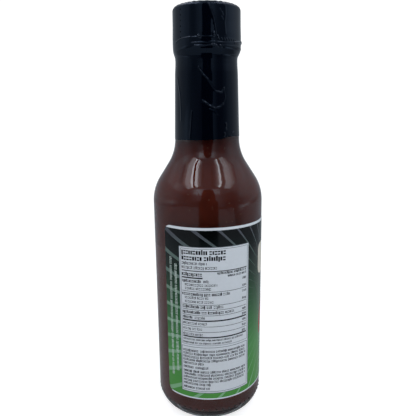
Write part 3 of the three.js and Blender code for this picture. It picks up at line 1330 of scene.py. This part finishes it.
@dataclass
class Studio:
    """A pale light tent with a dark slit at the viewer's side, two lamp panels, a floor and the camera.

    Each glow lists bearings in degrees, from the viewer round to the right, with the brightness there.
    """

    camera_place: tuple[float, float, float] = (0.08, -185.6, 131.83)
    camera_pitch: float = 78.05
    camera_roll: float = -0.576
    focal_share: float = 425.1 / 416
    tint: tuple[float, float, float] = (0.88, 1.0, 1.12)
    table_glow: tuple[Pair, ...] = ((-60, 0.33), (60, 0.33), (75, 0.26), (100, 0.2), (130, 0.22), (160, 0.33))
    edge_depth: tuple[Pair, ...] = (
        (-180, 0.16), (-91, 0.15), (-77, 0.12), (-54, 0.065), (-30, 0.06), (0, 0.08), (29, 0.14), (42, 0.17),
        (50, 0.19), (60, 0.27), (75, 0.27), (92, 0.24), (130, 0.2), (180, 0.16),
    )
    gap_glow: tuple[Pair, ...] = (
        (-120, 0.3), (-85, 0.26), (-72, 0.18), (-40, 0.1), (36, 0.06), (44, 0.2), (52, 0.33),
    )
    gap_from: Pair = (-0.035, -0.02)
    wall_glow: tuple[Pair, ...] = (
        (-180, 0.36), (-100, 0.36), (-78, 0.4), (-66, 0.26), (-55, 0.18), (-40, 0.16), (-21, 0.1),
        (16, 0.26), (20, 0.34), (28, 0.22), (40, 0.07), (55, 0.09), (70, 0.18), (82, 0.32), (106, 0.4),
        (130, 0.34), (180, 0.36),
    )
    wall_from: Pair = (0.025, 0.04)
    rim_glow: tuple[Pair, ...] = (
        (-180, 0.36), (-110, 0.4), (-91, 0.5), (-77, 0.68), (-68, 0.4), (-60, 0.2), (-40, 0.16),
        (-21, 0.1), (16, 0.26), (20, 0.34), (28, 0.22), (40, 0.07), (60, 0.1), (66, 0.3), (74, 0.85),
        (84, 0.8), (92, 0.65), (100, 0.3), (113, 0.2), (140, 0.3), (180, 0.36),
    )
    rim_from: Pair = (0.065, 0.085)
    rim_to: Pair = (0.16, 0.19)
    upper_glow: tuple[Pair, ...] = (
        (-180, 0.31), (-115, 0.33), (-90, 0.42), (-75, 0.36), (-62, 0.3), (-50, 0.13), (-40, 0.13),
        (-34, 0.18), (-27, 0.28), (-18, 0.34), (14, 0.36), (24, 0.36), (32, 0.2), (45, 0.13), (56, 0.12),
        (65, 0.2), (73, 0.42), (81, 0.54), (99, 0.52), (118, 0.4), (150, 0.31), (180, 0.31),
    )
    upper_from: Pair = (0.05, 0.3)
    halo_glow: tuple[Pair, ...] = (
        (-95, 0.55), (-80, 0.85), (-60, 0.4), (-45, 0.25), (-36, 0.4), (-29, 1.1), (-24, 1.6), (-18, 1.4),
        (-10, 0.95), (10, 0.95), (16, 1.1), (27, 0.9), (30, 0.36), (40, 0.3), (60, 0.32), (90, 0.58),
    )
    halo_from: Pair = (0.38, 0.49)
    roof_glow: tuple[Pair, ...] = ((-60, 0.45), (-15, 0.25), (15, 0.25), (60, 0.45))
    roof_from: Pair = (0.6, 0.67)
    past_white: float = 1.1
    slit_middle: float = 1.4
    slit_soft: float = 0.7
    slit: tuple[Pair, ...] = (
        (-21, 0.0), (-20, 12.0), (-18.5, 18.5), (-16, 20.0), (5, 19.8), (8.6, 19.0), (10, 15.6), (13, 14.8),
        (24, 14.4), (30, 13.0), (34, 12.6), (36.5, 10.6), (38.6, 7.0), (40, 0.0),
    )
    slit_glow: float = 0.006
    lamp_height: float = 455.0
    lamp_span: Pair = (-335.0, 200.0)
    fan_from: float = 335.0
    fan_slant: float = 0.7
    fan_power: float = 0.32
    left_lamp: tuple[Pair, ...] = (
        (60, 0.1), (94, 0.5), (123, 1.0), (137, 1.9), (149, 4.6), (160, 5.4), (176, 5.0), (183, 0.1),
        (203, 0.1), (210, 7.0), (224, 6.4), (238, 2.4), (290, 2.3), (310, 1.8), (326, 0.9), (355, 0.6),
        (390, 0.2),
    )
    right_lamp: tuple[Pair, ...] = (
        (60, 0.1), (116, 0.4), (132, 0.75), (147, 1.2), (161, 2.6), (174, 5.8), (187, 5.6), (198, 1.0),
        (208, 0.4), (233, 0.4), (247, 1.2), (261, 2.4), (284, 2.0), (314, 2.0), (345, 1.4), (380, 0.85),
        (435, 0.2),
    )
    lamp_tint: tuple[float, float, float] = (1.0, 0.98, 1.04)
    fill_place: tuple[float, float, float] = (125.0, -260.0, 340.0)
    fill_aim: tuple[float, float, float] = (0.0, 0.0, 50.0)
    fill_size: float = 200.0
    fill_power: float = 0.355
    floor_radius: float = 270.0
    floor_colour: str = "#b4b4b4"
    floor_lift: float = 0.78

    def grey(self, level: float) -> Colour:
        """Returns the tent's cool white at a brightness."""
        red, green, blue = (level * share for share in self.tint)
        return red, green, blue, 1.0

    def build_world(self) -> None:
        """Surrounds the bottle with the glow of the tent, white where the camera looks past the bottle."""
        world = bpy.data.worlds.new("light_tent")
        bpy.context.scene.world = world
        world.use_nodes = True
        tree = world.node_tree
        tree.nodes.clear()
        way = add_node(tree, "ShaderNodeTexCoord")
        axes = add_node(tree, "ShaderNodeSeparateXYZ", links={0: way.outputs["Generated"]})
        front = add_node(tree, "ShaderNodeMath", {"operation": "MULTIPLY", 1: -1.0}, {0: axes.outputs["Y"]})
        bearing = add_node(tree, "ShaderNodeMath", {"operation": "ARCTAN2"},
                           {0: axes.outputs["X"], 1: front.outputs[0]})
        share = add_node(tree, "ShaderNodeMath", {"operation": "MULTIPLY_ADD", 1: 1 / math.tau, 2: 0.5},
                         {0: bearing.outputs[0]})
        edge = add_node(tree, "ShaderNodeValToRGB", links={"Fac": share.outputs[0]})
        set_stops(edge.color_ramp, [(angle / 360 + 0.5, (depth,) * 3 + (1.0,))
                                    for angle, depth in self.edge_depth])
        over = add_node(tree, "ShaderNodeMath", {"operation": "ADD"},
                        {0: axes.outputs["Z"], 1: edge.outputs["Color"]}).outputs[0]
        level = axes.outputs["Z"]
        glow = self._ring(tree, share, self.table_glow)
        tiers = ((self.gap_glow, over, self.gap_from), (self.wall_glow, over, self.wall_from),
                 (self.rim_glow, over, self.rim_from), (self.wall_glow, over, self.rim_to),
                 (self.upper_glow, level, self.upper_from), (self.halo_glow, level, self.halo_from),
                 (self.roof_glow, level, self.roof_from))
        for stops, height, (start, end) in tiers:
            rise = add_node(tree, "ShaderNodeMapRange",
                            {"interpolation_type": "SMOOTHSTEP", "From Min": start, "From Max": end},
                            {"Value": height})
            blend = add_node(tree, "ShaderNodeMix", {"data_type": "RGBA"},
                             {0: rise.outputs["Result"], 6: glow, 7: self._ring(tree, share, stops)})
            glow = blend.outputs[2]
        dark = self._slit(tree, bearing, axes)
        tent = add_node(tree, "ShaderNodeMix", {"data_type": "RGBA", 7: self.grey(self.slit_glow)},
                        {0: dark.outputs["Result"], 6: glow})
        path = add_node(tree, "ShaderNodeLightPath")
        seen = add_node(tree, "ShaderNodeMix", {"data_type": "RGBA", 7: (self.past_white,) * 3 + (1.0,)},
                        {0: path.outputs["Is Camera Ray"], 6: tent.outputs[2]})
        back = add_node(tree, "ShaderNodeBackground", links={"Color": seen.outputs[2]})
        add_node(tree, "ShaderNodeOutputWorld", links={"Surface": back.outputs["Background"]})

    def _ring(self, tree: bpy.types.NodeTree, share: bpy.types.Node,
              stops: tuple[Pair, ...]) -> bpy.types.NodeSocket:
        """Adds one glow all round the tent.

        Args:
            tree: The world's node tree.
            share: Node that holds the bearing as a share of a full turn.
            stops: Bearing in degrees and brightness of each stop.

        Returns:
            The socket with the glow's colour.
        """
        ring = add_node(tree, "ShaderNodeValToRGB", links={"Fac": share.outputs[0]})
        set_stops(ring.color_ramp, [(angle / 360 + 0.5, self.grey(level)) for angle, level in stops])
        return ring.outputs["Color"]

    def _slit(self, tree: bpy.types.NodeTree, bearing: bpy.types.Node,
              axes: bpy.types.Node) -> bpy.types.Node:
        """Adds the dark slit with a round top, through which the bottle is viewed.

        Args:
            tree: The world's node tree.
            bearing: Node that holds the bearing in radians.
            axes: Node that holds the parts of the direction.

        Returns:
            A node whose output is 1 inside the slit and 0 outside.
        """
        lowest, highest = self.slit[0][0], self.slit[-1][0]
        widest = max(half for _, half in self.slit)
        rise = add_node(tree, "ShaderNodeMath", {"operation": "ARCSINE"}, {0: axes.outputs["Z"]})
        height = add_node(tree, "ShaderNodeMapRange",
                          {"From Min": math.radians(lowest), "From Max": math.radians(highest)},
                          {"Value": rise.outputs[0]})
        shape = add_node(tree, "ShaderNodeValToRGB", links={"Fac": height.outputs["Result"]})
        set_stops(shape.color_ramp, [((level - lowest) / (highest - lowest), (half / widest,) * 3 + (1.0,))
                                     for level, half in self.slit])
        half = add_node(tree, "ShaderNodeMath", {"operation": "MULTIPLY", 1: math.radians(widest)},
                        {0: shape.outputs["Color"]})
        off = add_node(tree, "ShaderNodeMath", {"operation": "SUBTRACT", 1: math.radians(self.slit_middle)},
                       {0: bearing.outputs[0]})
        aside = add_node(tree, "ShaderNodeMath", {"operation": "ABSOLUTE"}, {0: off.outputs[0]})
        past = add_node(tree, "ShaderNodeMath", {"operation": "SUBTRACT"},
                        {0: aside.outputs[0], 1: half.outputs[0]})
        soft = math.radians(self.slit_soft)
        return add_node(tree, "ShaderNodeMapRange", {"From Min": soft, "From Max": -soft},
                        {"Value": past.outputs[0]})

    def build_fill(self) -> None:
        """Hangs a soft fill lamp over the viewer, which brightens matt print but shows in no reflection."""
        lamp = bpy.data.lights.new("fill", "AREA")
        lamp.shape, lamp.size = "SQUARE", self.fill_size * MM
        lamp.energy, lamp.color = self.fill_power, self.tint
        holder = bpy.data.objects.new("fill", lamp)
        place = Vector(self.fill_place) * MM
        aim = (Vector(self.fill_aim) * MM - place).to_track_quat("-Z", "Y").to_matrix().to_4x4()
        holder.matrix_world = Matrix.Translation(place) @ aim
        holder.visible_camera = holder.visible_glossy = holder.visible_transmission = False
        bpy.context.scene.collection.objects.link(holder)

    def build_lamp(self, name: str, side: int, stops: tuple[Pair, ...]) -> None:
        """Hangs one soft lamp panel under the tent's roof, with its own bars of light and shade.

        Args:
            name: Name of the lamp.
            side: -1 for the viewer's left and 1 for the right.
            stops: Distance from the middle in millimetres and brightness there, in order outwards.
        """
        near, far = stops[0][0], stops[-1][0]
        front, back = self.lamp_span
        middle = Vector((side * (near + far) / 2, (front + back) / 2, self.lamp_height)) * MM
        size = Vector((far - near, back - front, 1.0)) * MM
        sheet = bmesh.new()
        bmesh.ops.create_grid(sheet, x_segments=1, y_segments=1, size=0.5,
                              matrix=Matrix.LocRotScale(middle, None, size))
        material, tree = new_material("lamp_diffuser")
        place = add_node(tree, "ShaderNodeTexCoord")
        axes = add_node(tree, "ShaderNodeSeparateXYZ", links={0: place.outputs["Object"]})
        across = self._fan(tree, axes)
        share = add_node(tree, "ShaderNodeMapRange", {"From Min": near * MM, "From Max": far * MM},
                         {"Value": across.outputs[0]})
        bars = add_node(tree, "ShaderNodeValToRGB", links={"Fac": share.outputs["Result"]})
        brightest = max(level for _, level in stops)
        set_stops(bars.color_ramp, [((across - near) / (far - near),
                                     tuple(level / brightest * share for share in self.lamp_tint) + (1.0,))
                                    for across, level in stops])
        light = add_node(tree, "ShaderNodeEmission", {"Strength": brightest},
                         {"Color": bars.outputs["Color"]})
        add_node(tree, "ShaderNodeOutputMaterial", links={"Surface": light.outputs["Emission"]})
        self.set_down(name, sheet, material).visible_camera = False

    def _fan(self, tree: bpy.types.NodeTree, axes: bpy.types.Node) -> bpy.types.Node:
        """Adds the distance across a lamp's bars, which fan out towards the viewer.

        Args:
            tree: The lamp's node tree.
            axes: Node that holds the parts of the place on the lamp.

        Returns:
            A node whose output is the distance from the middle, in metres.
        """
        aside = add_node(tree, "ShaderNodeMath", {"operation": "ABSOLUTE"}, {0: axes.outputs["X"]})
        slant = add_node(tree, "ShaderNodeMath", {"operation": "MULTIPLY", 1: self.fan_slant},
                         {0: aside.outputs[0]})
        ahead = add_node(tree, "ShaderNodeMath", {"operation": "SUBTRACT"},
                         {0: slant.outputs[0], 1: axes.outputs["Y"]})
        reach = add_node(tree, "ShaderNodeMath", {"operation": "DIVIDE", 1: self.fan_from * MM},
                         {0: ahead.outputs[0]})
        fan = add_node(tree, "ShaderNodeMath", {"operation": "MAXIMUM", 1: 1.0}, {0: reach.outputs[0]})
        narrow = add_node(tree, "ShaderNodeMath", {"operation": "POWER", 1: -self.fan_power},
                          {0: fan.outputs[0]})
        return add_node(tree, "ShaderNodeMath", {"operation": "MULTIPLY"},
                        {0: aside.outputs[0], 1: narrow.outputs[0]})

    def set_down(self, name: str, sheet: bmesh.types.BMesh, material: bpy.types.Material) -> bpy.types.Object:
        """Puts a sheet of the studio in place, apart from the bottle's body.

        Args:
            name: Name of the sheet.
            sheet: Its shape in metres, freed here.
            material: Its finish.

        Returns:
            The new object.
        """
        data = bpy.data.meshes.new(name)
        sheet.to_mesh(data)
        sheet.free()
        data.materials.append(material)
        staging = bpy.data.objects.new(name, data)
        bpy.context.scene.collection.objects.link(staging)
        return staging

    def build_floor(self) -> None:
        """Lays the round pale board that the bottle stands on."""
        sheet = bmesh.new()
        bmesh.ops.create_circle(sheet, cap_ends=True, segments=96, radius=self.floor_radius * MM)
        material, tree = new_material("matt_white_board")
        path = add_node(tree, "ShaderNodeLightPath")
        lift = add_node(tree, "ShaderNodeMath", {"operation": "MULTIPLY", 1: self.floor_lift},
                        {0: path.outputs["Is Camera Ray"]})
        shader = add_node(tree, "ShaderNodeBsdfPrincipled",
                          {"Base Color": linear(self.floor_colour), "Roughness": 0.9,
                           "Emission Color": (1.0, 1.0, 1.0, 1.0)},
                          {"Emission Strength": lift.outputs[0]})
        add_node(tree, "ShaderNodeOutputMaterial", links={"Surface": shader.outputs["BSDF"]})
        self.set_down("floor", sheet, material)

    def build_camera(self) -> None:
        """Sets up the camera, a little above the shoulder and tipped down."""
        lens = bpy.data.cameras.new("camera")
        lens.sensor_width = 36.0
        lens.lens = lens.sensor_width * self.focal_share
        lens.clip_start = 0.01
        camera = bpy.data.objects.new("camera", lens)
        turn = Matrix.Rotation(math.radians(self.camera_pitch), 4, "X")
        turn @= Matrix.Rotation(math.radians(self.camera_roll), 4, "Z")
        camera.matrix_world = Matrix.Translation(Vector(self.camera_place) * MM) @ turn
        bpy.context.scene.collection.objects.link(camera)
        bpy.context.scene.camera = camera

    def build(self) -> None:
        """Sets up the light, floor and camera."""
        bpy.context.scene.view_settings.view_transform = "Standard"
        self.build_world()
        self.build_lamp("left_lamp", -1, self.left_lamp)
        self.build_lamp("right_lamp", 1, self.right_lamp)
        self.build_fill()
        self.build_floor()
        self.build_camera()


def main() -> None:
    """Builds the studio and every piece of the bottle, in order from the inside out."""
    logging.basicConfig(level=logging.INFO, format="%(name)s: %(message)s")
    Studio().build()
    bottle = GlassBottle()
    bottle.build_sauce(PepperSauce())
    bottle.build_glass(MouldedGlass())
    bottle.build_heel_dots(MouldedGlass())
    ScrewCap().build(BlackPolypropylene())
    band = ShrinkBand()
    band.build(ShrinkFilm())
    black = Ink("black", "#0b0e10")
    band.build_perforation(PaintedHoleShade())
    label = WrapLabel(bottle)
    label.build_sheet(VarnishedPaper())
    label.build_panel(Ink("panel_white", "#eef1f3"), black)
    label.build_frames(Ink("grey", "#6d7479"))
    label.build_side_rows(Ink("pale_green", "#cfdcd2"))
    FrontPrint(label).build(Ink("cream", "#efe8d4"), Ink("chilli_red", "#b3261c"), Ink("leaf", "#7fae4c"))


if __name__ == "__main__":
    main()
